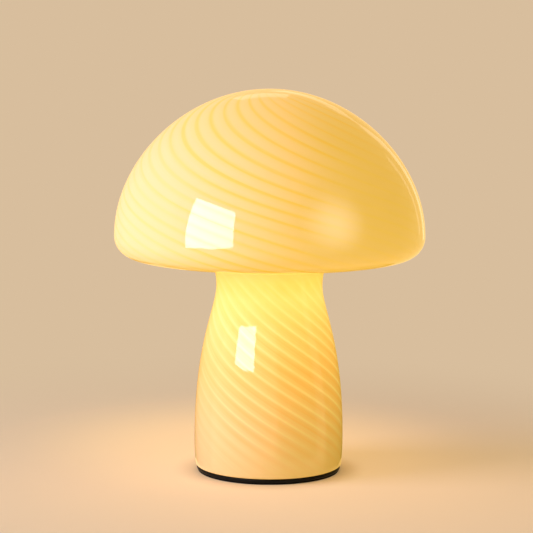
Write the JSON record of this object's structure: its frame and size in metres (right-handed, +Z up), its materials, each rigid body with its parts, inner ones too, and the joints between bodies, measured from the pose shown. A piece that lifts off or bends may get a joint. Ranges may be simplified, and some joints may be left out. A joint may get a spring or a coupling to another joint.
{
  "type": "table lamp",
  "caption": "Mushroom-shaped table lamp of one blown glass cap and stem with a swirled stripe, over a round black base with a screw lampholder and globe lamp.",
  "frame": {"origin": "centre of the underside, on the table plane, under the lamp's axis", "axes": "+Z up along the lamp's axis, +Y to the back where the cord enters, +X to the right seen from the front"},
  "size_m": [0.185, 0.185, 0.229],
  "materials": {
    "amber_glass": "glossy blown opal glass, pale yellow swirled with thin amber lines",
    "black_base": "satin black powder coat",
    "black_rubber": "matt",
    "steel": "zinc plated",
    "spring_steel": "bright strip",
    "rivet_aluminium": "bright",
    "holder_plastic": "moulded, satin",
    "white_ceramic": "lightly glazed",
    "brass": "bright pressed",
    "tip_metal": "plain",
    "bulb_black": "moulded",
    "bulb_nickel": "nickel plated",
    "bulb_white": "moulded, satin",
    "board_white": "white solder mask",
    "led_yellow": "phosphor under clear resin",
    "card_green": "solder mask",
    "globe_white": "frosted diffuser",
    "block_white": "moulded",
    "lead_brown": "insulation",
    "lead_blue": "insulation"
  },
  "bodies": {
    "base": {"base_plate": "black_base", "foot_ring": "black_rubber", "glass_seat_ring": "black_rubber", "bottom_cover": "black_base", "cover_screws": "steel", "cord_grommet": "black_rubber", "glass_clips": "spring_steel", "clip_rivets": "rivet_aluminium", "mounting_tube": "steel", "tube_nut": "steel", "lock_washer": "steel", "mounting_collar": "black_base", "holder_cap": "holder_plastic", "holder_lock_screw": "steel", "holder_body": "holder_plastic", "holder_insert": "white_ceramic", "holder_terminal_screws": "brass", "holder_screw_shell": "brass", "holder_centre_contact": "brass", "terminal_block": "block_white", "terminal_barrels": "brass", "terminal_screws": "steel", "terminal_fixing_screw": "steel", "lead_live": "lead_brown", "lead_neutral": "lead_blue"},
    "glass": {"glass_body": "amber_glass"},
    "bulb_tip": {"bulb_tip_contact": "tip_metal"},
    "bulb": {"bulb_insulator": "bulb_black", "bulb_screw_cap": "bulb_nickel", "bulb_housing": "bulb_white", "bulb_led_board": "board_white", "bulb_leds": "led_yellow", "bulb_driver": "card_green", "bulb_globe": "globe_white"}
  },
  "joints": [
    {"name": "glass_lift", "type": "slide", "parent": "base", "child": "glass", "axis": [0, 0, 1], "range_m": [0, 0.15]},
    {"name": "bulb_rise", "type": "slide", "parent": "base", "child": "bulb_tip", "axis": [0, 0, 1], "range_m": [0, 0.009]},
    {"name": "bulb_turn", "type": "hinge", "parent": "bulb_tip", "child": "bulb", "pos_m": [0, 0, 0.06], "axis": [0, 0, 1], "range_deg": [0, 1116]}
  ],
  "couplings": [
    {"joint": "bulb_rise", "follows": "bulb_turn", "m_per_rad": 0.00044917}
  ]
}
